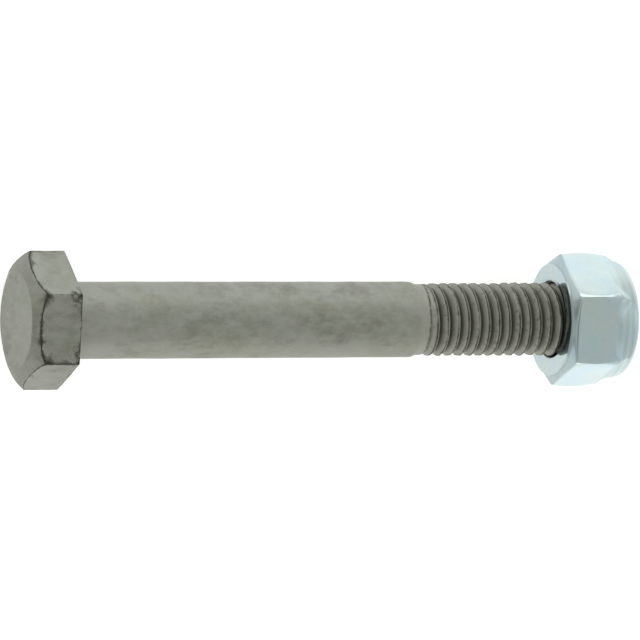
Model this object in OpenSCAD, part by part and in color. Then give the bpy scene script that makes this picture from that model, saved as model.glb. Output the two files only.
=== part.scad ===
// Hexagon bolt, partly threaded, with a prevailing-torque lock nut part way on to its end.
// The axis is X. The origin is the centre of the head's bearing face, and +X runs to the nut.
// The lot lies on the head's flat that faces -Z, and the nut's hexagon stands a little turned beside it.

/* [Thread] */
// Nominal diameter of the thread and of the plain shank
thread_d = 12; // [8:0.5:14]
// Pitch of the right-hand thread
pitch = 1.75; // [1:0.05:2]
// Play between the bolt's thread and the nut's, measured on the radius
thread_play = 0.11; // [0.08:0.01:0.2]
// Flat sides that stand for one turn of the thread
thread_sides = 32; // [24:4:40]

/* [Bolt head] */
// Width across the flats of head and nut
across_flats = 19; // [18:0.5:24]
// Height of the head
head_h = 7.5; // [5:0.1:12]
// Slope of the crown's chamfer, in degrees from the face
crown_slope = 26; // [15:1:35]
// Width of the crown's chamfer, from its flat face out to the flats
crown_rim = 2.05; // [1:0.05:4]
// Slope of the small chamfer round the bearing side of the head
seat_slope = 5; // [2:1:25]
// Fillet between the head's bearing face and the shank
seat_fillet = 0.6; // [0.3:0.1:1]

/* [Bolt shank] */
// Length of the bolt under its head
bolt_l = 90; // [60:1:150]
// Length of the threaded rod at the bolt's end, with its neck
thread_l = 30.9; // [25:0.1:45]
// Length of the taper from the shank down to the neck
neck_taper = 1.1; // [0.6:0.1:2]
// Length of the neck between the taper and the thread
neck_l = 1; // [0.5:0.1:2]
// Length over which the thread then grows to its full depth
run_out_l = 1.5; // [1:0.1:3]
// Depth of the neck below the shank, down to the blank that the thread was rolled on
neck_depth = 0.35; // [0.1:0.05:0.6]
// Depth of the chamfer round the bolt's end, below the thread's root
end_chamfer = 0.4; // [0.2:0.1:1]

/* [Nut] */
// How far the bolt's end reaches into the nut
nut_grip = 7.6; // [4:0.1:7.8]
// Turn of the nut's hexagon against the head's, in degrees
nut_twist = 2.2; // [-5:0.1:5]
// Height of the hexagon, up to the foot of the collar
hex_h = 7.3; // [6:0.1:8]
// Height of the steel thread, up to the insert
nut_thread_h = 8.2; // [8:0.1:9]
// Depth that the corners are rounded off
corner_cut = 0.27; // [0.1:0.01:0.6]
// Width of the chamfer round the bearing ring, from the ring out to the flats
ring_rim = 0.55; // [0.2:0.05:1]
// Slope of that chamfer, in degrees from the face
ring_slope = 36; // [20:1:45]
// Depth of the countersink in the bearing face
sink_depth = 0.5; // [0.3:0.05:0.8]
// Depth of the collar's foot below the rounded corners
foot_depth = 0.6; // [0.4:0.05:0.8]
// Depth of the collar below the flats, where its rolled edge begins
collar_depth = 0.45; // [0.3:0.05:0.7]
// Height of the rolled edge
roll_h = 2.5; // [1.5:0.1:2.8]
// Thickness of the lip that is rolled over the insert
lip_h = 0.7; // [0.5:0.05:1]
// Width of that lip, from the pocket's wall to its mouth
lip_w = 0.7; // [0.4:0.05:0.9]

/* [Insert] */
// Height of the insert
insert_h = 3; // [2.5:0.1:3.5]
// Thickness of the insert's ring
insert_wall = 2.05; // [1.8:0.05:2.2]
// How deep the thread bites into the insert, so that the bolt presses its way through
insert_bite = 0.5; // [0.2:0.05:0.7]
// Play round the insert in its pocket
insert_play = 0.05; // [0.03:0.01:0.1]

/* [Hidden] */
$fn = 96;
// A cut runs past the face that it starts from by this much
past = 1;
// Height of the sharp thread triangle, and how far the root and the worn crest lie from the nominal size
sharp_h = pitch * cos(30);
thread_r = thread_d / 2;
root_r = thread_r - 17 / 24 * sharp_h;
crest_wear = 0.05;
crest_r = thread_r - crest_wear;
// The threaded rod starts inside the taper, a little thinner than the neck, so that it joins solid metal
neck_r = thread_r - neck_depth;
end_r = root_r - end_chamfer;
rod_at = bolt_l - thread_l;
shank_l = rod_at - neck_taper;
rod_in = 0.5;
rod_skin = 0.03;
blank_r = neck_r - rod_skin;
// Radii of the nut, from the flats and the corners inwards
flat_r = across_flats / 2;
corner_r = flat_r / cos(30) - corner_cut;
ring_r = flat_r - ring_rim;
foot_r = corner_r - foot_depth;
collar_r = flat_r - collar_depth;
// The insert, its pocket and the lip over it
insert_bore_r = thread_r - insert_bite;
insert_r = insert_bore_r + insert_wall;
pocket_r = insert_r + insert_play;
pocket_h = insert_h + 2 * insert_play;
mouth_r = pocket_r - lip_w;
nut_h = nut_thread_h + pocket_h + lip_h;
roll_at = nut_h - roll_h;
nut_at = bolt_l - nut_grip;
// Points of one pitch, as a share of the pitch and of the thread's depth: root, flank, round crest
form = [[0, 0], [0.125, 0], [0.44, 0.88], [0.5625, 1], [0.685, 0.88]];

// Radius of the thread form at its point i
function form_r(i) = root_r + form[i][1] * (crest_r - root_r);
// How much of the thread's depth is formed at height z over the rod's start
function grown(z) = min(1, max(0, (z - neck_l) / run_out_l));
// Radius of the rod at height z: the blank's at first, and then the form's
function rod_r(i, z) = blank_r + (form_r(i) - blank_r) * grown(z);
// Radius of the cut that makes the nut's thread, which is the same form swollen by the play
function cut_r(i) = form_r(i) + thread_play;

// Closed solid of a thread with flat ends. cut is true for the nut's thread, and false for the rod.
// Its form is whole from one pitch above 0, or from where the rod's has grown, up to at least length.
// The points stand in columns round the axis, and the last column meets the first one a pitch higher.
module helix_solid(low, length, cut) {
    n = thread_sides;
    m = len(form);
    turns = ceil(length / pitch);
    rows = turns * m;
    high = (turns + 1) * pitch;
    function height(j, q) = pitch * (j / n + floor(q / m) + form[q % m][0]);
    function radius(j, q) = cut ? cut_r(q % m) : rod_r(q % m, height(j, q));
    function spot(j, r, z) = [r * cos(360 * j / n), r * sin(360 * j / n), z];
    low_r = cut ? cut_r(0) : blank_r;
    high_r = cut ? cut_r(0) : root_r;
    points = concat(
        [for (j = [0:n - 1]) for (q = [0:rows]) spot(j, radius(j, q), height(j, q))],
        [for (j = [0:n - 1]) spot(j, low_r, -low)],
        [for (j = [0:n - 1]) spot(j, high_r, high)]
    );
    function at(j, q) = j * (rows + 1) + q;
    function foot(j) = n * (rows + 1) + j;
    function head(j) = foot(j) + n;
    function pair(a, b, c, d) = [[a, b, c], [a, c, d]];
    faces = concat(
        // The thread's surface, between each column and the next
        [for (j = [0:n - 2]) for (q = [0:rows - 1])
            each pair(at(j, q), at(j, q + 1), at(j + 1, q + 1), at(j + 1, q))],
        [for (q = [0:rows - m - 1])
            each pair(at(n - 1, q), at(n - 1, q + 1), at(0, q + m + 1), at(0, q + m))],
        // The skirt below the first turn, and the step where that turn ends
        [for (j = [0:n - 2]) each pair(foot(j), at(j, 0), at(j + 1, 0), foot(j + 1))],
        pair(foot(n - 1), at(n - 1, 0), at(0, 0), foot(0)),
        [for (q = [0:m - 1]) [at(n - 1, 0), at(0, q + 1), at(0, q)]],
        // The same over the last turn
        [for (j = [0:n - 2]) each pair(at(j, rows), head(j), head(j + 1), at(j + 1, rows))],
        pair(at(n - 1, rows), head(n - 1), head(0), at(0, rows)),
        [for (q = [rows - m:rows - 1]) [at(0, rows), at(n - 1, q), at(n - 1, q + 1)]],
        // The flat ends
        [[for (j = [0:n - 1]) foot(j)]],
        [[for (j = [n - 1:-1:0]) head(j)]]
    );
    polyhedron(points, faces, convexity = 10);
}

// Turns a shape made along Z so that it lies along X, starting at x
module along_x(x) {
    translate([x, 0, 0]) rotate([0, 90, 0]) children();
}

// Hexagonal prism whose flats face up and down once it lies along X
module hexagon(height) {
    rotate(30) cylinder(r = flat_r / cos(30), h = height, $fn = 6);
}

// Turned envelope that chamfers the head: the bearing side is at 0 and the crown at head_h
module head_envelope() {
    far_r = 2 * flat_r;
    crown_r = flat_r - crown_rim;
    rotate_extrude() polygon([
        [0, 0],
        [flat_r, 0],
        [far_r, (far_r - flat_r) * tan(seat_slope)],
        [far_r, head_h - (far_r - crown_r) * tan(crown_slope)],
        [crown_r, head_h],
        [0, head_h]
    ]);
}

// Turned outline of the threaded rod, which cuts it off square at its end and chamfers it
module rod_envelope() {
    wide_r = crest_r + past;
    rotate_extrude() polygon([
        [0, -past],
        [wide_r, -past],
        [wide_r, thread_l - (wide_r - end_r)],
        [end_r, thread_l],
        [0, thread_l]
    ]);
}

// Shank with its fillet under the head and its taper to the neck
module shank() {
    fillet_r = thread_r + seat_fillet;
    rotate_extrude() polygon([
        [0, -past],
        [fillet_r, -past],
        for (a = [0:15:90]) [fillet_r - seat_fillet * sin(a), seat_fillet * (1 - cos(a))],
        [thread_r, shank_l],
        [neck_r, rod_at],
        [0, rod_at]
    ]);
}

module bolt() color([0.55, 0.55, 0.51]) {
    along_x(0) {
        mirror([0, 0, 1]) intersection() {
            hexagon(head_h);
            head_envelope();
        }
        shank();
        translate([0, 0, rod_at]) intersection() {
            helix_solid(rod_in, thread_l, false);
            rod_envelope();
        }
    }
}

// Turned outline of the nut: bearing ring, chamfer, rounded corners, tapering collar and rolled edge
module nut_envelope() {
    taper = (foot_r - collar_r) / (roll_at - hex_h);
    rotate_extrude() polygon([
        [0, 0],
        [ring_r, 0],
        [corner_r, (corner_r - ring_r) * tan(ring_slope)],
        [corner_r, hex_h - foot_depth / taper],
        [foot_r, hex_h],
        for (a = [0:10:90])
            [mouth_r + (collar_r - mouth_r) * cos(a), roll_at + roll_h * sin(a)],
        [0, nut_h]
    ]);
}

module nut_body() color([0.75, 0.82, 0.83]) {
    // The nut's thread is cut in step with the bolt's, so that both stand on one helix
    step = (nut_at - rod_at) / pitch;
    lead_in = pitch * (1 + step - floor(step));
    sink_r = thread_r + sink_depth;
    sink_h = sink_r - root_r;
    along_x(nut_at) difference() {
        intersection() {
            rotate(nut_twist) hexagon(nut_h);
            nut_envelope();
        }
        translate([0, 0, -lead_in]) helix_solid(past, nut_thread_h + lead_in, true);
        translate([0, 0, -past]) cylinder(r1 = sink_r + past, r2 = root_r - past, h = sink_h + 2 * past);
        translate([0, 0, nut_thread_h]) cylinder(r = pocket_r, h = pocket_h);
        translate([0, 0, nut_h - lip_h - past]) cylinder(r = mouth_r, h = lip_h + 2 * past);
    }
}

module nylon_insert() color([0.92, 0.93, 0.9]) {
    along_x(nut_at + nut_thread_h + insert_play) difference() {
        cylinder(r = insert_r, h = insert_h);
        translate([0, 0, -past]) cylinder(r = insert_bore_r, h = insert_h + 2 * past);
    }
}

bolt();
nut_body();
nylon_insert();
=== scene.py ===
import bpy
import numpy as np
from mathutils import Euler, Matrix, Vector


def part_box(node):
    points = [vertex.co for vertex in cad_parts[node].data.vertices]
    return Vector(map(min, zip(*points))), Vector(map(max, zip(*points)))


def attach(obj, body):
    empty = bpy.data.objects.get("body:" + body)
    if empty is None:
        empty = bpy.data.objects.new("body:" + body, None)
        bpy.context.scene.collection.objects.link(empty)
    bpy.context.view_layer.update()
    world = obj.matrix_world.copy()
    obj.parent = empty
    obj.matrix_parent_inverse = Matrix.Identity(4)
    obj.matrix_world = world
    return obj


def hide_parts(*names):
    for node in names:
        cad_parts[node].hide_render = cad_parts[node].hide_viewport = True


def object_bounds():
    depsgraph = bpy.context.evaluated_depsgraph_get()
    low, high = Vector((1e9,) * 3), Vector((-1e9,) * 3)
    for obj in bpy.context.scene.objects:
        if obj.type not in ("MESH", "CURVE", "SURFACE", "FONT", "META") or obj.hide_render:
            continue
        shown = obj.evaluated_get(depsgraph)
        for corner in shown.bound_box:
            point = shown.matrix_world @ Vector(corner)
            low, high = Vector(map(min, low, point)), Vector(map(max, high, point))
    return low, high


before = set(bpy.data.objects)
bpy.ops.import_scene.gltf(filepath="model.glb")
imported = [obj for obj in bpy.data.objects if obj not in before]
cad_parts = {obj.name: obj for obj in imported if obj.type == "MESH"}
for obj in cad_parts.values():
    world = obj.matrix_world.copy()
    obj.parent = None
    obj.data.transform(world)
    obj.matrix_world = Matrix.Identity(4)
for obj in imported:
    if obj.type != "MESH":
        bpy.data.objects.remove(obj)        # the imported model, in metres: bodies bolt, insert and nut
cad_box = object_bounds()
MM = 0.001

# Camera
# A long lens looks down on the bolt, which lies along X. It stands over the head's side, turned by about
# 21 degrees, so that it sees the head's crown and the nut's bearing face. It sees +Y as up.
CAMERA_AT = (-425.7, 177.5, 1181.1)
CAMERA_TURN = (-9.114, -21.209, 3.174)
CAMERA_LENS = 458.8

camera_data = bpy.data.cameras.new("camera")
camera_data.lens = CAMERA_LENS
camera_data.sensor_width = 36
camera = bpy.data.objects.new("camera", camera_data)
camera.location = Vector(CAMERA_AT) * MM
camera.rotation_euler = Euler(np.radians(CAMERA_TURN))
bpy.context.collection.objects.link(camera)
bpy.context.scene.camera = camera


# Bolt
# Hexagon bolt of medium-carbon steel, cold-forged in one piece. The head is upset and trimmed to its
# hexagon, the shank is drawn, and the thread is rolled on a blank that is thinner than the shank, which
# leaves a taper and a neck. It is dipped in zinc-flake coating and baked, and its edges are chipped.
bolt_low, bolt_high = (np.array(corner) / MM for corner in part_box("bolt"))
head_h = -bolt_low[0]
bolt_l = bolt_high[0]
flat_r = bolt_high[2]
crown_r = 7.45                               # the flat middle of the head's face
crown_slope, crown_bend, knee_share = 0.4, 0.2, 0.6     # its fall past that, and where its knee lies
sharp_corner, soft_corner = 300, 75          # sharpness of the head's corners, and of its soft one
seat_r, seat_fillet = 9.3, 0.6
shank_r, shank_swell = 6.0, 0.05             # the shank is a little thicker at the head
neck_r, neck_taper = 5.63, 1.1
pitch = 1.75
rod_at = 59.1                                # where the thinner blank starts
root_r, crest_r, end_r = 4.93, 5.95, 4.53
crest_round, root_round = 0.42, 0.3          # how softly the thread's form turns there
end_round, end_inward = 0.15, 0.35           # the chamfer's edge, and the rows' way in over the end
run_out_from, run_out_to = 0.2, 2.2          # where the grooves get deep
rise_from, rise_to = 0.9, 2.4                # where the crests rise over the blank
die_at, die_lean, die_width, die_depth = 0.75, 0.35, 0.15, 0.05
lap_width, lap_depth = 0.09, 0.15            # the fold that rolling leaves along a crest
worn_depth, nick_depth = 0.06, 0.02
no_edge_mm = 9                               # stands for the distance where no edge is near
COLUMNS = 192


def hexagon_radius(angle, flat_r, sharpness):
    """Radius of a hexagon with rounded corners at each angle: flat_r divided by the p-norm of the cosines
    of the angles to its six flats. p is the sharpness there."""
    flats = np.radians(60) * np.arange(6)[:, None]
    lean = np.maximum(np.cos(angle - flats), 0)
    return flat_r * (lean ** sharpness).sum(0) ** (-1 / sharpness)


def gathered_angles():
    """Angles of the columns, gathered at the hexagon's corners: the middle of each flat plus 30 degrees
    times the sine of a quarter turn's share, which runs from -1 to 1 over the flat."""
    across = COLUMNS // 6
    share = (np.arange(COLUMNS) % across) / across * 2 - 1
    return np.radians(60 * (np.arange(COLUMNS) // across) + 30 * np.sin(np.pi / 2 * share))


def even_angles():
    """Angles of the columns, evenly spaced from the same first corner."""
    return np.radians(-30 + 360 / COLUMNS * np.arange(COLUMNS))


def outline_rows(corners, cuts, straights, bend=6):
    """Rows of points along an outline in x and radius, one outline for each column. Each inner corner B
    becomes a parabola (1-t)^2 A + 2t(1-t) B + t^2 C, where A and C lie on its two sides, one cut away from
    it. The straight stretches between are divided evenly."""
    all_columns = np.zeros(COLUMNS)
    corners = [np.stack([x + all_columns, r + all_columns], 1) for x, r in corners]
    t = np.linspace(0, 1, bend + 1)[:, None, None]
    rows, last = [corners[0][None]], corners[0]
    for before, corner, after, cut, straight in zip(corners, corners[1:], corners[2:], cuts, straights):
        near, far = cut if isinstance(cut, tuple) else (cut, cut)
        back, ahead = before - corner, after - corner
        start = corner + back * (near / np.linalg.norm(back, axis=1))[:, None]
        stop = corner + ahead * (far / np.linalg.norm(ahead, axis=1))[:, None]
        share = (np.arange(1, straight) / straight)[:, None, None]
        curve = (1 - t) ** 2 * start + 2 * t * (1 - t) * corner + t * t * stop
        rows += [last + (start - last) * share, curve]
        last = stop
    share = (np.arange(1, straights[-1] + 1) / straights[-1])[:, None, None]
    rows.append(last + (corners[-1] - last) * share)
    return np.concatenate(rows)


def smooth_step(start, stop, value):
    """0 up to start, 1 from stop on and 3t^2 - 2t^3 between, where t is the share of the way. It runs
    down where start is the greater."""
    t = np.clip((value - start) / (stop - start), 0, 1)
    return t * t * (3 - 2 * t)


def smooth_least(a, b, blend):
    """The lesser of a and b, less (1 - |a-b| / blend)^2 blend / 4 where they lie within blend."""
    near = np.maximum(1 - np.abs(a - b) / blend, 0)
    return np.minimum(a, b) - near * near * blend / 4


def waves(points, size, seed, count=24):
    """Smooth random field at points: the sum of sine waves of random direction, with lengths about size,
    scaled so that its values spread about 1 either side of 0."""
    dice = np.random.default_rng(seed)
    way = dice.normal(size=(count, 3))
    length = size * dice.uniform(0.7, 1.6, count)
    way *= (2 * np.pi / length / np.linalg.norm(way, axis=1))[:, None]
    return np.sin(points @ way.T + dice.uniform(0, 2 * np.pi, count)).sum(-1) * (2 / count) ** 0.5


def around(x, r, angle):
    """Points at x along the axis and r from it. The angle starts at -Z and turns towards +Y."""
    x, r, angle = np.broadcast_arrays(x, r, angle)
    return np.stack([x, r * np.sin(angle), -r * np.cos(angle)], -1).reshape(-1, 3)


def ring_faces(rows, closed=False):
    """Quads between the neighbouring rows of a grid whose columns run right round the axis. A closed grid's
    last row joins its first one too."""
    spot = np.arange(rows * COLUMNS).reshape(rows, COLUMNS)
    spot = np.vstack([spot, spot[:1]]) if closed else spot
    beside = np.roll(spot, -1, axis=1)
    return np.stack([spot[:-1], beside[:-1], beside[1:], spot[1:]], -1).reshape(-1, 4)


def make_piece(name, points, faces, marks=None):
    """Makes a mesh object of points in millimetres, shaded smooth. marks are named numbers, one a point."""
    mesh = bpy.data.meshes.new(name)
    mesh.from_pydata(points * MM, [], faces)
    mesh.polygons.foreach_set("use_smooth", np.ones(len(mesh.polygons), bool))
    for mark, values in (marks or {}).items():
        mesh.attributes.new(mark, "FLOAT", "POINT").data.foreach_set("value", values.astype(np.float32))
    piece = bpy.data.objects.new(name, mesh)
    bpy.context.collection.objects.link(piece)
    return piece


def dent(piece, size, depth, seed):
    """Pushes each point of a piece in along its normal by depth (1 - w) / 2, where w are waves of about
    that size."""
    mesh = piece.data
    points, normals = (np.empty(3 * len(mesh.vertices)) for _ in range(2))
    mesh.vertices.foreach_get("co", points)
    mesh.vertices.foreach_get("normal", normals)
    points, normals = points.reshape(-1, 3), normals.reshape(-1, 3)
    push = np.clip((1 - waves(points / MM, size, seed)) / 2, 0, 1) * depth * MM
    mesh.vertices.foreach_set("co", (points - normals * push[:, None]).ravel())
    mesh.update()


def crown_x(r):
    """x of the crown at radius r, from the face: crown_slope (r - crown_r), plus crown_bend (r - flat_r)^2
    past the flats."""
    return crown_slope * (r - crown_r) + crown_bend * np.maximum(r - flat_r, 0) ** 2 - head_h


# The columns are gathered at the hexagon's corners on the head and evenly spaced on the shank. The corner
# at 150 degrees is the softer one.
gathered, even = gathered_angles(), even_angles()
way_round = np.degrees(gathered) % 360
soften = smooth_step(16, 4, np.abs(way_round - 150))
hexagon_r = hexagon_radius(gathered, flat_r, sharp_corner + (soft_corner - sharp_corner) * soften)
at_corner = (hexagon_r - flat_r) / (hexagon_r.max() - flat_r)
knee_r = crown_r + knee_share * (hexagon_r - crown_r)
rim_x = crown_x(hexagon_r)

# Head and shank: rows from the crown's middle out, over the flats, in to the fillet and along the shank.
# The columns turn from the one spacing to the other on the bearing face.
helix_lead, skirt_l = 2, 0.6                 # turns of the helix before the thinner blank, and the skirt
plain_end = rod_at - helix_lead * pitch - skirt_l
head_rows = outline_rows(
    [(-head_h, 0.5), (-head_h, crown_r), (crown_x(knee_r), knee_r), (rim_x, hexagon_r), (0, hexagon_r),
     (0, shank_r + shank_swell), (plain_end, shank_r)],
    cuts=[0.12, 0.6, 0.1, 0.1 + 0.06 * at_corner, seat_fillet], straights=[7, 4, 3, 11, 6, 24])
row_x, row_r = head_rows[..., 0], head_rows[..., 1]
on_seat = smooth_step(seat_r - 0.2, shank_r + seat_fillet, row_r) * (row_x > -0.5)
turned = np.where(row_x > -0.01, on_seat, 0)
head_points = around(row_x, row_r, gathered + (even - gathered) * turned)

# Wear: the distance to each edge, counted longer where the edge is worn less, and to a few knocks, each
# given by its x, its angle and its size
upper_flat = np.exp(-((way_round - 128) / 22) ** 2)
mid_flat = smooth_step(34, 26, np.abs(way_round - 180))
lower_flat = smooth_step(32, 26, np.abs(way_round - 242))
rim_mm = np.hypot(row_x - rim_x, row_r - hexagon_r) / (1 - 0.55 * upper_flat - 0.65 * lower_flat)
seat_mm = np.hypot(row_x, row_r - hexagon_r) / (0.3 + 0.4 * mid_flat)
corner_off = np.abs(np.radians(way_round % 60 - 30)) * hexagon_r
on_corner = (row_r > seat_r) & (row_x > rim_x)
corner_mm = np.where(on_corner, corner_off / (0.7 - 0.3 * soften) + 0.22 * soften, no_edge_mm)
edge_mm = np.minimum(np.minimum(rim_mm, seat_mm), corner_mm)
knocks = [(-0.3, 151, 3.2), (-1.3, 149, 1.8), (-0.9, 156, 1.6), (-0.3, 209, 2.6), (-1.9, 210, 1.8),
          (-4.6, 210, 2.2), (-5.2, 209, 2.4), (-0.2, 198, 2.2), (-0.4, 203, 1.5), (-5.7, 151, 2.2),
          (-6.5, 192, 1.8), (-6.2, 105, 1.3), (-6.2, 238, 1.4), (-0.2, 232, 1.4)]
for x, degrees, size in knocks:
    aside = np.hypot(np.hypot(row_x - x, row_r - hexagon_r), np.radians(way_round - degrees) * hexagon_r)
    edge_mm = np.minimum(edge_mm, aside / size)

# Stains lie on the crown most, and on the middle flat more than on the lower one
on_side = smooth_step(0.1, 0.5, row_x - rim_x) * smooth_step(9.2, 9.4, row_r)
on_crown = smooth_step(crown_r + 0.02, crown_r + 0.2, row_r) * smooth_step(0.1, 0, row_x - rim_x)
on_face = smooth_step(3, 7, row_r) * (row_x < 0.05 - head_h)
stain = (0.2 * mid_flat + 0.07 * lower_flat) * on_side + (0.27 + 0.25 * mid_flat) * on_crown + 0.08 * on_face

# Thread: rows that follow the helix, so that a crest is one row all the way. A row that starts at the
# first column meets the row one pitch higher at the last one. steps_off are the rows' distances from the
# crest, in pitches, and lie closest at the lap.
crest_at = 0.5625
root_edge, flank_slope = 0.4375, 2.794
steps_off = np.array([0.02, 0.04, 0.07, 0.11, 0.16, 0.24, 0.33, 0.40, 0.45])
phases = np.sort((np.concatenate([[0, 0.5], steps_off, -steps_off]) + crest_at) % 1)
PER_TURN = len(phases)
helix_turns = helix_lead + int(np.ceil((bolt_l - rod_at) / pitch))
helix_rows = helix_turns * PER_TURN + 1
row = np.arange(helix_rows)
phase = phases[row % PER_TURN][:, None]
lift = (row // PER_TURN)[:, None] - helix_lead
helix_x = rod_at + pitch * (phase + lift + even / (2 * np.pi))


def from_crest(phase):
    """Distance from the nearest crest in pitches, less than 0 before the crest and more than 0 past it."""
    return (phase - crest_at + 0.5) % 1 - 0.5


def thread_share(crest_off, crest_round, root_round):
    """The thread's form as a share of its depth: flank_slope (root_edge - distance from the crest),
    rounded off at 1 by crest_round and at 0 by root_round."""
    share = smooth_least(1, flank_slope * (root_edge - crest_off), crest_round)
    return -smooth_least(0, -share, root_round)


# The radius is the root's plus that share of the thread's depth, less wear, nicks and the lap
past_crest = from_crest(phase)
crest_off = np.abs(past_crest)
share = thread_share(crest_off, crest_round, root_round)
along_crest = 2 * np.pi * crest_r * (lift + even / (2 * np.pi))
broken = np.clip(1 + 0.5 * waves(along_crest[..., None] * [1, 0, 0], size=9, seed=5), 0.35, 1)
lap = np.exp(-(crest_off / lap_width) ** 2) * broken
worn = np.clip(waves(along_crest[..., None] * [1, 0, 0], size=4, seed=6), 0, 1)
nicks = waves(around(helix_x, crest_r, even), size=0.7, seed=7).reshape(helix_x.shape)
form = root_r + share * (crest_r - root_r - worn_depth * worn - nick_depth * nicks) - lap_depth * lap

# The dies' edge leans by die_lean (1 + cosine) round the blank. Past it the grooves get deep first, and
# then the crests rise.
past_start = helix_x - rod_at - die_lean * (1 + np.cos(even))
grown = smooth_step(run_out_from, run_out_to, past_start)
risen = smooth_step(rise_from, rise_to, past_start)
blank = shank_r + (neck_r - shank_r) * smooth_step(-neck_taper, 0, helix_x - rod_at)
helix_r = blank + (form - blank) * np.where(form > blank, risen, grown)

# The end has a chamfer of 45 degrees down to end_r, and the last rows run in over its flat face
beyond = helix_x - bolt_l
helix_r = smooth_least(helix_r, end_r - beyond, end_round)
helix_r = np.where(beyond > 0, end_r * (1 - end_inward * np.maximum(beyond, 0)), helix_r)

# Painted shade darkens the grooves, higher up the flank that follows a crest than up the one before it, and
# the folds of the lap and the dies' edge. Some specks are darkened as marks.
in_groove = smooth_step(np.where(past_crest > 0, 1, 0.3), 0, share)
die_edge = np.exp(-((past_start - die_at) / die_width) ** 2) * np.clip(0.9 + 0.3 * nicks, 0, 1)
helix_r = helix_r - die_depth * die_edge
specks = 0.4 * grown * np.clip(nicks - 1, 0, 1)
# painted shade in the grooves, the lap and the dies' edge, and dark specks as marks
groove_shade_and_specks = np.maximum.reduce([grown * in_groove, grown ** 0.5 * lap, die_edge, specks])
groove_shade_and_specks = groove_shade_and_specks * smooth_step(0, -0.8, beyond)
rolled = smooth_step(-1.5, -0.6, helix_x - rod_at)
helix_points = around(np.minimum(helix_x, bolt_l), helix_r, even)
helix_edge_mm = np.where(grown > 0.2, 0.2 + 1.4 * pitch * crest_off, no_edge_mm)
helix_edge_mm = helix_edge_mm + no_edge_mm * (beyond > -0.8)

# Faces: the head's rows, a skirt from its last row to the helix, the helix with its seam, and both ends
first = len(head_points)
poles = around([-head_h, bolt_l], 0, 0)
crown_pole, end_pole = first + len(helix_points) + np.arange(2)
spot = first + np.arange(helix_rows * COLUMNS).reshape(helix_rows, COLUMNS)
beside = np.column_stack([spot[:, 1:], np.append(spot[PER_TURN:, 0], [-1] * PER_TURN)])
helix_faces = np.stack([spot[:-1], beside[:-1], beside[1:], spot[1:]], -1).reshape(-1, 4)
helix_faces = helix_faces[(helix_faces >= 0).all(1)]
ring = first - COLUMNS + np.arange(COLUMNS)
skirt = np.stack([ring, np.roll(ring, -1), np.append(spot[0, 1:], spot[0, 0]), spot[0]], -1)
seam_start = np.stack([np.full(PER_TURN, spot[0, -1]), spot[:PER_TURN, 0], spot[1:PER_TURN + 1, 0]], -1)
seam_end = np.stack([spot[-PER_TURN - 1:-1, -1], np.full(PER_TURN, spot[-1, 0]), spot[-PER_TURN:, -1]], -1)
crown_fan = np.stack([np.full(COLUMNS, crown_pole), np.roll(np.arange(COLUMNS), -1), np.arange(COLUMNS)], -1)
end_fan = np.stack([spot[-1], np.roll(spot[-1], -1), np.full(COLUMNS, end_pole)], -1)
quads = np.concatenate([ring_faces(len(head_rows)), helix_faces, skirt])
triangles = np.concatenate([seam_start, seam_end, crown_fan, end_fan])
nothing = np.zeros(len(head_points))
bolt = make_piece(
    "bolt_steel", np.concatenate([head_points, helix_points, poles]), quads.tolist() + triangles.tolist(),
    {"edge_mm": np.concatenate([edge_mm.ravel(), helix_edge_mm.ravel(), [no_edge_mm] * 2]),
     "stain": np.append(stain, np.zeros(helix_x.size + 2)),
     "groove_shade_and_specks": np.concatenate([nothing, groove_shade_and_specks.ravel(), [0, 0]]),
     "rolled": np.concatenate([nothing, rolled.ravel(), [0, 1]])})
dent(bolt, size=5, depth=0.03, seed=11)
dent(bolt, size=1.4, depth=0.01, seed=12)


def tone(hex_colour):
    """Linear RGBA of an sRGB hex colour: ((c + 0.055) / 1.055) ^ 2.4 for each channel above 0.04."""
    c = np.array([int(hex_colour[i:i + 2], 16) / 255 for i in (0, 2, 4)])
    return (*np.where(c > 0.04045, ((c + 0.055) / 1.055) ** 2.4, c / 12.92), 1)


def add(tree, kind, values=None, links=None, **settings):
    """Adds a node: settings are its properties, values its inputs' values and links its inputs' sources.
    Inputs with a shared name go by number. Map Range has 0 for the value, 1 and 2 for the span that it
    comes from, and 3 and 4 for the one it goes to. Mix has 0 for the share, 2 and 3 for numbers, and 6
    and 7 for colours, and its output 2 is a colour."""
    node = tree.nodes.new(kind)
    for name, setting in settings.items():
        setattr(node, name, setting)
    for name, value in (values or {}).items():
        node.inputs[name].default_value = value
    for name, source in (links or {}).items():
        tree.links.new(source, node.inputs[name])
    return node.outputs


def new_material(name):
    """An empty node material, and its tree."""
    material = bpy.data.materials.new(name)
    material.use_nodes = True
    material.node_tree.nodes.clear()
    return material, material.node_tree


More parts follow.
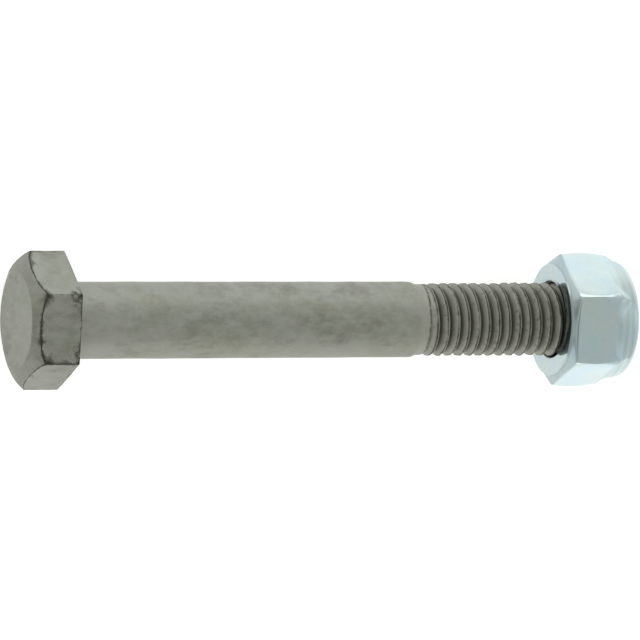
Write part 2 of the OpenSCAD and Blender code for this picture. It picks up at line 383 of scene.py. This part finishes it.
def zinc_flake_coating():
    """Zinc-flake coating on steel, dipped and baked. It gives a matt grey skin, a little olive, clouded
    over some millimetres where it ran thicker, with dark bare steel in chips along the edges, and painted
    shade in the thread's grooves, its lap and the dies' edge, with some dark specks."""
    cloud_mm, mottle_mm, smudge_mm, grain_mm, chip_mm = 7, 1.3, 3.8, 0.35, 1.3
    material, tree = new_material("zinc_flake_coating")
    place = add(tree, "ShaderNodeTexCoord")["Object"]
    noise, mix, span, calc = "ShaderNodeTexNoise", "ShaderNodeMix", "ShaderNodeMapRange", "ShaderNodeMath"
    drawn = add(tree, "ShaderNodeMapping", {"Scale": (0.6, 1, 0.45), "Location": (0.02, 0, 0)},
                {"Vector": place})[0]
    cloud = add(tree, noise, {"Scale": 1000 / cloud_mm, "Detail": 4, "Roughness": 0.6}, {"Vector": drawn})[0]
    mottle = add(tree, noise, {"Scale": 1000 / mottle_mm, "Detail": 5, "Roughness": 0.65},
                 {"Vector": drawn})[0]
    smudge = add(tree, noise, {"Scale": 1000 / smudge_mm, "Detail": 7, "Roughness": 0.72},
                 {"Vector": drawn})[0]
    grain = add(tree, noise, {"Scale": 1000 / grain_mm, "Detail": 3}, {"Vector": place})[0]
    chip = add(tree, noise, {"Scale": 1000 / chip_mm, "Detail": 4, "Roughness": 0.7}, {"Vector": place})[0]

    # Skin: two greys in clouds, paler mottles, darker smudges and the stains
    clouded = add(tree, span, {1: 0.38, 2: 0.62}, {0: cloud})[0]
    skin = add(tree, mix, {6: tone("8f9284"), 7: tone("9c9e98")}, {0: clouded}, data_type="RGBA")[2]
    mottled = add(tree, span, {1: 0.38, 2: 0.66, 3: 0, 4: 0.6}, {0: mottle})[0]
    skin = add(tree, mix, {7: tone("adafa8")}, {0: mottled, 6: skin}, data_type="RGBA")[2]
    smudged = add(tree, span, {1: 0.52, 2: 0.74, 3: 0, 4: 0.65}, {0: smudge})[0]
    skin = add(tree, mix, {7: tone("6a6c63")}, {0: smudged, 6: skin}, data_type="RGBA")[2]
    stain = add(tree, "ShaderNodeAttribute", attribute_name="stain")["Fac"]
    blotched = add(tree, span, {1: 0.35, 2: 0.65, 3: 1.25, 4: 0.75}, {0: mottle})[0]
    stained = add(tree, calc, links={0: stain, 1: blotched}, operation="MULTIPLY")[0]
    skin = add(tree, mix, {7: tone("5c5e4e")}, {0: stained, 6: skin}, data_type="RGBA")[2]

    # The rolled end is rubbed paler, and painted shade darkens its grooves
    rolled = add(tree, "ShaderNodeAttribute", attribute_name="rolled")["Fac"]
    rubbed = add(tree, calc, {1: 0.68}, {0: rolled}, operation="MULTIPLY")[0]
    skin = add(tree, mix, {7: tone("a4a49b")}, {0: rubbed, 6: skin}, data_type="RGBA")[2]
    groove_shade_and_specks = add(tree, "ShaderNodeAttribute", attribute_name="groove_shade_and_specks")["Fac"]
    groove_shading = add(tree, calc, {1: 0.9}, {0: groove_shade_and_specks}, operation="MULTIPLY")[0]
    skin = add(tree, mix, {7: tone("26251b")}, {0: groove_shading, 6: skin}, data_type="RGBA")[2]

    # Dark steel shows at an edge and fades out within the chips' width, which is 0.2 to 0.75 mm
    distance = add(tree, "ShaderNodeAttribute", attribute_name="edge_mm")["Fac"]
    width = add(tree, span, {1: 0.42, 2: 0.62, 3: 0.2, 4: 0.75}, {0: chip})[0]
    bare = add(tree, span, {1: 0.08, 3: 0.95, 4: 0}, {0: distance, 2: width})[0]
    skin = add(tree, mix, {7: tone("2c2b22")}, {0: bare, 6: skin}, data_type="RGBA")[2]

    # Matt, more in some places than in others, with grain and mottles in relief
    matt = add(tree, span, {1: 0.3, 2: 0.7, 3: 0.46, 4: 0.62}, {0: mottle})[0]
    relief = add(tree, "ShaderNodeBump", {"Strength": 0.35, "Distance": 0.04 * MM},
                 {"Height": grain})["Normal"]
    relief = add(tree, "ShaderNodeBump", {"Strength": 0.4, "Distance": 0.06 * MM},
                 {"Height": mottle, "Normal": relief})["Normal"]
    shader = add(tree, "ShaderNodeBsdfPrincipled", {"Metallic": 0.55},
                 {"Base Color": skin, "Roughness": matt, "Normal": relief})[0]
    add(tree, "ShaderNodeOutputMaterial", links={"Surface": shader})
    return material


bolt.data.materials.append(zinc_flake_coating())
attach(bolt, "bolt")
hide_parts("bolt")


# Nut
# Lock nut of cold-forged steel, tapped, and tumbled in a bright zinc bath with a pale blue passivate. Its
# corners and shoulders are soft from forging, and it bears on a low raised ring. The collar at the far
# end is rolled in over the insert.
nut_low, nut_high = (np.array(corner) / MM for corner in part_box("nut_body"))
nut_at = nut_low[0]
nut_h = nut_high[0] - nut_low[0]
nut_sharp, nut_soft = 60, 18                 # sharpness of the corners at the middle and at the ends
nut_twist = np.radians(2.2)                  # how far it is turned against the head
nut_aside = -0.1                             # its outside hangs a little low on the thread
bearing_r, bearing_h = 8.95, 0.33            # the raised ring
shoulder_h, hex_h, blend_h = 0.85, 7.75, 0.75     # where the flats start and end, and the collar's blend
shoulder_rise, hex_rise, blend_rise = 0.35, 0.5, 1.6     # how much later these come at a corner
waist_s, waist_reach, bulge_limit = 4.4, 3.4, 1.4
collar_r, roll_r = 9.55, 9.0
sink_r = 6.22                                # the countersink at the bearing face
thread_h, thread_play = 8.2, 0.11            # the steel thread, and its play on the bolt's
pocket_r, pocket_h = 7.6, 3.1                # the room for the locking ring
mouth_r = 6.9
lip_at = thread_h + pocket_h


def tap_radius(s):
    """Radius of the nut's thread at s: the bolt's thread form with thread_play more, and never less than
    the countersink's sink_r - s."""
    phase = ((nut_at + s - rod_at) / pitch - even / (2 * np.pi)) % 1
    share = thread_share(np.abs(from_crest(phase)), crest_round=0.3, root_round=0.2)
    return -smooth_least(-root_r - thread_play - share * (crest_r - root_r), s - sink_r, 0.1)


nut_r = hexagon_radius(gathered, flat_r, nut_sharp)
out = (nut_r - flat_r) / (nut_r.max() - flat_r)
shoulder_s = shoulder_h + shoulder_rise * out
flat_end_s = hex_h + hex_rise * out
collar_s = hex_h + blend_h + blend_rise * out

# Rows from the bearing face out, over the hexagon and the collar, and back in through the pocket
nut_outline = outline_rows(
    [(0, sink_r), (0, bearing_r), (bearing_h, bearing_r + 0.04), (shoulder_s, nut_r), (flat_end_s, nut_r),
     (collar_s, collar_r), (nut_h, roll_r), (nut_h, mouth_r), (lip_at, mouth_r), (lip_at, pocket_r),
     (thread_h, pocket_r), (thread_h, tap_radius(thread_h))],
    cuts=[0.12, (0.15, 0.2), 0.3 + 0.1 * out, 0.3 + 0.6 * out, (0.3 + 0.8 * out, 0.3 + 0.1 * out),
          (1.5, 0.9), 0.2, 0.08, 0.08, 0.08],
    straights=[5, 2, 3, 14, 2, 3, 2, 2, 3, 3, 6], bend=8)
tap_rows = 94
tap_s = np.linspace(thread_h, 0, tap_rows + 2)[1:-1, None]

# The hexagon bulges like a barrel: its corners go over from nut_sharp to nut_soft with the square of the
# distance from its waist, counted in waist_reach
row_s, row_r = nut_outline[..., 0], nut_outline[..., 1]
from_waist = np.clip(np.abs(row_s - waist_s) / waist_reach, 0, bulge_limit)
soft_r = hexagon_radius(gathered, flat_r, nut_soft)
row_r = np.minimum(row_r, nut_r - (nut_r - soft_r) * from_waist ** 2)
to_bore = smooth_step(bearing_r - 0.4, sink_r, row_r) * (row_s < 0.01)
past_hexagon = smooth_step(collar_s.max() + 0.3, nut_h, row_s)
number = np.arange(len(nut_outline))[:, None]
inside = number > np.argmax(row_s[:, 0])
turned = np.maximum(to_bore, np.where(inside, 1, past_hexagon))
twisted = gathered + nut_twist
outside = np.where(inside, 0, 1)
nut_points = around(nut_at + row_s, row_r, twisted + (even - twisted) * turned)
nut_points[:, 1] += (nut_aside * smooth_step(sink_r - 0.1, sink_r, row_r) * outside).ravel()
nut_points = np.concatenate([nut_points, around(nut_at + tap_s, tap_radius(tap_s), even)])
nut_faces = ring_faces(len(nut_outline) + tap_rows, closed=True)

# Dull places: the bearing ring a little and the shoulder round it more. The ring's rim more, and the crease
# where the shoulder meets a flat most, are darkened the same way as painted shade.
on_ring = smooth_step(0.3, 0, row_s) * outside
on_shoulder = smooth_step(0.03, 0.15, row_s) * smooth_step(0.15, -0.1, row_s - shoulder_s) * outside
crease = np.exp(-((row_s - shoulder_s - 0.12) / 0.12) ** 2) * outside * (1 - out) ** 0.5
crease = crease * (0.2 + 0.8 * smooth_step(34, 24, np.abs(way_round - 180)))
rim = smooth_step(0.2, 0.06, np.abs(row_r - bearing_r - 0.02)) * (row_s < bearing_h + 0.1)
dull_and_shade_marks = np.maximum.reduce([0.2 * on_ring, 0.45 * on_shoulder, crease, 0.6 * rim])
tap_zeros, tap_ones = np.zeros(tap_s.size * COLUMNS), np.ones(tap_s.size * COLUMNS)
nut = make_piece(
    "nut_steel", nut_points, nut_faces.tolist(),
    {"oiled_and_shaded_bore": np.append(np.zeros(row_r.size), tap_ones),
     "ring": np.append(on_ring, tap_zeros),
     "dull_and_shade": np.append(dull_and_shade_marks, tap_zeros)})
dent(nut, size=5, depth=0.04, seed=21)
dent(nut, size=1.6, depth=0.01, seed=22)


def bright_zinc_plating():
    """Electroplated zinc with a pale blue passivate, tumbled in a barrel. It gives a bright, faintly blue
    metal with soft reflections, a haze of finer dents, patches of another tint and rings that the
    rolling tool drew round the collar."""
    patch_mm, dent_mm, haze_mm, ring_mm = 6, 0.9, 0.25, 0.9
    material, tree = new_material("bright_zinc_plating")
    place = add(tree, "ShaderNodeTexCoord")["Object"]
    noise, mix, span = "ShaderNodeTexNoise", "ShaderNodeMix", "ShaderNodeMapRange"
    patch = add(tree, noise, {"Scale": 1000 / patch_mm, "Detail": 3, "Roughness": 0.5}, {"Vector": place})[0]
    dents = add(tree, noise, {"Scale": 1000 / dent_mm, "Detail": 3, "Roughness": 0.55}, {"Vector": place})[0]
    haze = add(tree, noise, {"Scale": 1000 / haze_mm, "Detail": 3, "Roughness": 0.6}, {"Vector": place})[0]
    rings = add(tree, "ShaderNodeMapping", {"Scale": (1, 0.03, 0.03)}, {"Vector": place})[0]
    rolled = add(tree, noise, {"Scale": 1000 / ring_mm, "Detail": 2}, {"Vector": rings})[0]

    # Plate: two tints in patches, clouds, bands on the collar, dull places with painted shade, and the thread
    # dark as oiled steel and painted shade
    tinted = add(tree, span, {1: 0.38, 2: 0.62}, {0: patch})[0]
    plate = add(tree, mix, {6: tone("c5dae3"), 7: tone("ccdad8")}, {0: tinted}, data_type="RGBA")[2]
    clouded = add(tree, span, {1: 0.45, 2: 0.75, 3: 0, 4: 0.15}, {0: dents})[0]
    plate = add(tree, mix, {7: tone("b4c6c9")}, {0: clouded, 6: plate}, data_type="RGBA")[2]
    x_at = add(tree, "ShaderNodeSeparateXYZ", links={0: place})[0]
    collar_mm = nut_at + hex_h
    on_collar = add(tree, span, {1: collar_mm * MM, 2: (collar_mm + 1) * MM, 3: 0, 4: 0.42}, {0: x_at})[0]
    banded = add(tree, span, {1: 0.42, 2: 0.62}, {0: rolled, 4: on_collar})[0]
    plate = add(tree, mix, {7: tone("a6b9bd")}, {0: banded, 6: plate}, data_type="RGBA")[2]
    # dull places, with painted shade in the crease at the shoulder and at the ring's rim
    dull_and_shade = add(tree, "ShaderNodeAttribute", attribute_name="dull_and_shade")["Fac"]
    plate = add(tree, mix, {7: tone("7b888d")}, {0: dull_and_shade, 6: plate}, data_type="RGBA")[2]
    # the tapped thread: dark oiled steel, and painted shade in the bore
    oiled_and_shaded_bore = add(tree, "ShaderNodeAttribute", attribute_name="oiled_and_shaded_bore")["Fac"]
    plate = add(tree, mix, {7: tone("262a29")}, {0: oiled_and_shaded_bore, 6: plate}, data_type="RGBA")[2]

    # Rougher in the dull places and on the collar, smoother on the bearing ring
    satin = add(tree, span, {1: 0.3, 2: 0.7, 3: 0.16, 4: 0.28}, {0: haze})[0]
    on_ring = add(tree, "ShaderNodeAttribute", attribute_name="ring")["Fac"]
    satin = add(tree, mix, {3: 0.5}, {0: dull_and_shade, 2: satin})[0]
    satin = add(tree, mix, {3: 0.09}, {0: on_ring, 2: satin})[0]
    satin = add(tree, mix, {3: 0.55}, {0: on_collar, 2: satin})[0]

    # Relief: haze and dents all over, and the rolling tool's rings on the collar
    relief = add(tree, "ShaderNodeBump", {"Strength": 0.25, "Distance": 0.03 * MM},
                 {"Height": haze})["Normal"]
    relief = add(tree, "ShaderNodeBump", {"Strength": 0.2, "Distance": 0.04 * MM},
                 {"Height": dents, "Normal": relief})["Normal"]
    relief = add(tree, "ShaderNodeBump", {"Distance": 0.05 * MM},
                 {"Strength": on_collar, "Height": rolled, "Normal": relief})["Normal"]
    shader = add(tree, "ShaderNodeBsdfPrincipled", {"Metallic": 1},
                 {"Base Color": plate, "Roughness": satin, "Normal": relief})[0]
    add(tree, "ShaderNodeOutputMaterial", links={"Surface": shader})
    return material


nut.data.materials.append(bright_zinc_plating())
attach(nut, "nut")
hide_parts("nut_body")


# Locking ring
# Ring of natural nylon 6, punched or moulded, that the collar holds in its pocket. The bolt's thread
# presses its way through it and is gripped.
ring_low, ring_high = (np.array(corner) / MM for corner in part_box("nylon_insert"))
insert_r = ring_high[1]
insert_bore_r = 5.5
near_x, far_x = ring_low[0], ring_high[0]
start_r, stop_r = 6.5, 6.4                   # the outline starts and stops on the near face
insert_rows = outline_rows(
    [(near_x, start_r), (near_x, insert_r), (far_x, insert_r), (far_x, insert_bore_r),
     (near_x, insert_bore_r), (near_x, stop_r)],
    cuts=[0.15, 0.25, 0.3, 0.3], straights=[3, 6, 5, 6, 3])
insert_points = around(insert_rows[..., 0], insert_rows[..., 1], even)
insert = make_piece("nylon_ring", insert_points, ring_faces(len(insert_rows), closed=True).tolist())
dent(insert, size=3, depth=0.04, seed=31)


def natural_nylon():
    """Nylon 6 as moulded, without pigment. It gives a milky, slightly warm white that light enters a
    little way, with a soft sheen and faint cloudy flow marks."""
    flow_mm, grain_mm = 1.8, 0.2
    material, tree = new_material("natural_nylon")
    place = add(tree, "ShaderNodeTexCoord")["Object"]
    noise = "ShaderNodeTexNoise"
    flow = add(tree, noise, {"Scale": 1000 / flow_mm, "Detail": 3}, {"Vector": place})["Fac"]
    grain = add(tree, noise, {"Scale": 1000 / grain_mm, "Detail": 2}, {"Vector": place})["Fac"]
    milky = add(tree, "ShaderNodeMix", {6: tone("f5f6f1"), 7: tone("ecede6")}, {0: flow}, data_type="RGBA")[2]
    sheen = add(tree, "ShaderNodeMapRange", {3: 0.38, 4: 0.55}, {0: grain})[0]
    relief = add(tree, "ShaderNodeBump", {"Strength": 0.3, "Distance": 0.02 * MM},
                 {"Height": grain})["Normal"]
    shader = add(tree, "ShaderNodeBsdfPrincipled",
                 {"IOR": 1.53, "Subsurface Weight": 0.15, "Subsurface Scale": 1.0 * MM,
                  "Subsurface Radius": (1, 0.9, 0.75)},
                 {"Base Color": milky, "Roughness": sheen, "Normal": relief})[0]
    add(tree, "ShaderNodeOutputMaterial", links={"Surface": shader})
    return material


insert.data.materials.append(natural_nylon())
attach(insert, "insert")
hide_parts("nylon_insert")


# Table and light
# A wide white table carries the bolt. It shows as white to the camera and to the metal, and keeps a soft
# shadow. Soft boxes stand beside the bolt and past the nut, and the pale room gives the rest.
half, floor_z = 3.0, cad_box[0].z
floor_mesh = bpy.data.meshes.new("floor")
floor_mesh.from_pydata([(-half, -half, floor_z), (half, -half, floor_z), (half, half, floor_z),
                        (-half, half, floor_z)], [], [(0, 1, 2, 3)])
floor = bpy.data.objects.new("floor", floor_mesh)
bpy.context.collection.objects.link(floor)


def white_table():
    """Matt white board. It reflects most of the light, and where the camera or a reflection sees it, some
    light of its own is added, more near the bolt, so that the open floor is white and the shadow pale."""
    near_glow, far_glow, near_mm, far_mm, middle_mm = 0.64, 0.28, 78, 160, 43
    material, tree = new_material("white_table")
    board = add(tree, "ShaderNodeBsdfDiffuse", {"Color": tone("e8e8e8")})[0]
    path = add(tree, "ShaderNodeLightPath")
    calc = "ShaderNodeMath"
    seen = add(tree, calc, links={0: path["Is Camera Ray"], 1: path["Is Glossy Ray"]}, operation="MAXIMUM")[0]
    seen = add(tree, calc, links={0: seen, 1: path["Is Transmission Ray"]}, operation="MAXIMUM")[0]
    place = add(tree, "ShaderNodeTexCoord")["Object"]
    middle = (middle_mm * MM, 0, 0)
    aside = add(tree, "ShaderNodeVectorMath", {1: middle}, {0: place}, operation="DISTANCE")["Value"]
    glow = add(tree, "ShaderNodeMapRange", {1: near_mm * MM, 2: far_mm * MM, 3: near_glow, 4: far_glow},
               {0: aside}, interpolation_type="SMOOTHSTEP")[0]
    glow = add(tree, calc, links={0: seen, 1: glow}, operation="MULTIPLY")[0]
    light = add(tree, "ShaderNodeEmission", links={"Strength": glow})[0]
    both = add(tree, "ShaderNodeAddShader", links={0: board, 1: light})[0]
    add(tree, "ShaderNodeOutputMaterial", links={"Surface": both})
    return material


floor_mesh.materials.append(white_table())

# The room's light: walls past the table's edge, darker at the head's end than at the nut's, a pale band
# over them, and a ceiling that is a little brighter at the head's end. Past the nut the light goes up by
# the share end_glow.
head_wall, nut_wall, band, head_ceiling, nut_ceiling = 0.16, 0.6, 0.64, 0.74, 0.57
end_glow = 0.15
world = bpy.data.worlds.new("room")
world.use_nodes = True
world.node_tree.nodes.clear()
tree = world.node_tree
direction = add(tree, "ShaderNodeTexCoord")["Generated"]
along, _, height = add(tree, "ShaderNodeSeparateXYZ", links={0: direction})
walls = add(tree, "ShaderNodeMapRange", {1: -0.9, 2: 0.9, 3: head_wall, 4: nut_wall}, {0: along})[0]
level = add(tree, "ShaderNodeMapRange", {1: 0.1, 2: 0.3, 4: band}, {0: height, 3: walls},
            interpolation_type="SMOOTHSTEP")[0]
ceiling = add(tree, "ShaderNodeMapRange", {1: -0.6, 2: 0.15, 3: head_ceiling, 4: nut_ceiling}, {0: along})[0]
level = add(tree, "ShaderNodeMapRange", {1: 0.3, 2: 0.9}, {0: height, 3: level, 4: ceiling},
            interpolation_type="SMOOTHSTEP")[0]
paler = add(tree, "ShaderNodeMapRange", {1: 0.45, 2: 0.8, 3: 1, 4: 1 + end_glow}, {0: along},
            interpolation_type="SMOOTHSTEP")[0]
level = add(tree, "ShaderNodeMath", links={0: level, 1: paler}, operation="MULTIPLY")[0]
room = add(tree, "ShaderNodeBackground", {"Color": tone("fefffa")}, {"Strength": level})[0]
add(tree, "ShaderNodeOutputWorld", links={"Surface": room})
bpy.context.scene.world = world

# Soft boxes: place and size in millimetres, watts and colour. They face one place on the shank.
faced_mm = (40, 0, 0)
soft_boxes = {"box_up": ((40, 600, 170), (900, 340), 1.07, "ffffff"),
              "box_down": ((40, -600, 110), (900, 200), 0.67, "fffaf4"),
              "box_end": ((640, 90, 360), (200, 90), 0.07, "ffffff")}
for name, (place_mm, size_mm, watts, colour) in soft_boxes.items():
    lamp_data = bpy.data.lights.new(name, "AREA")
    lamp_data.shape = "RECTANGLE"
    lamp_data.size, lamp_data.size_y = Vector(size_mm) * MM
    lamp_data.energy = watts
    lamp_data.color = tone(colour)[:3]
    lamp = bpy.data.objects.new(name, lamp_data)
    lamp.location = Vector(place_mm) * MM
    aim = Vector(faced_mm) * MM - lamp.location
    lamp.rotation_euler = aim.to_track_quat("-Z", "Y").to_euler()
    bpy.context.collection.objects.link(lamp)

bpy.context.scene.view_settings.view_transform = "Standard"
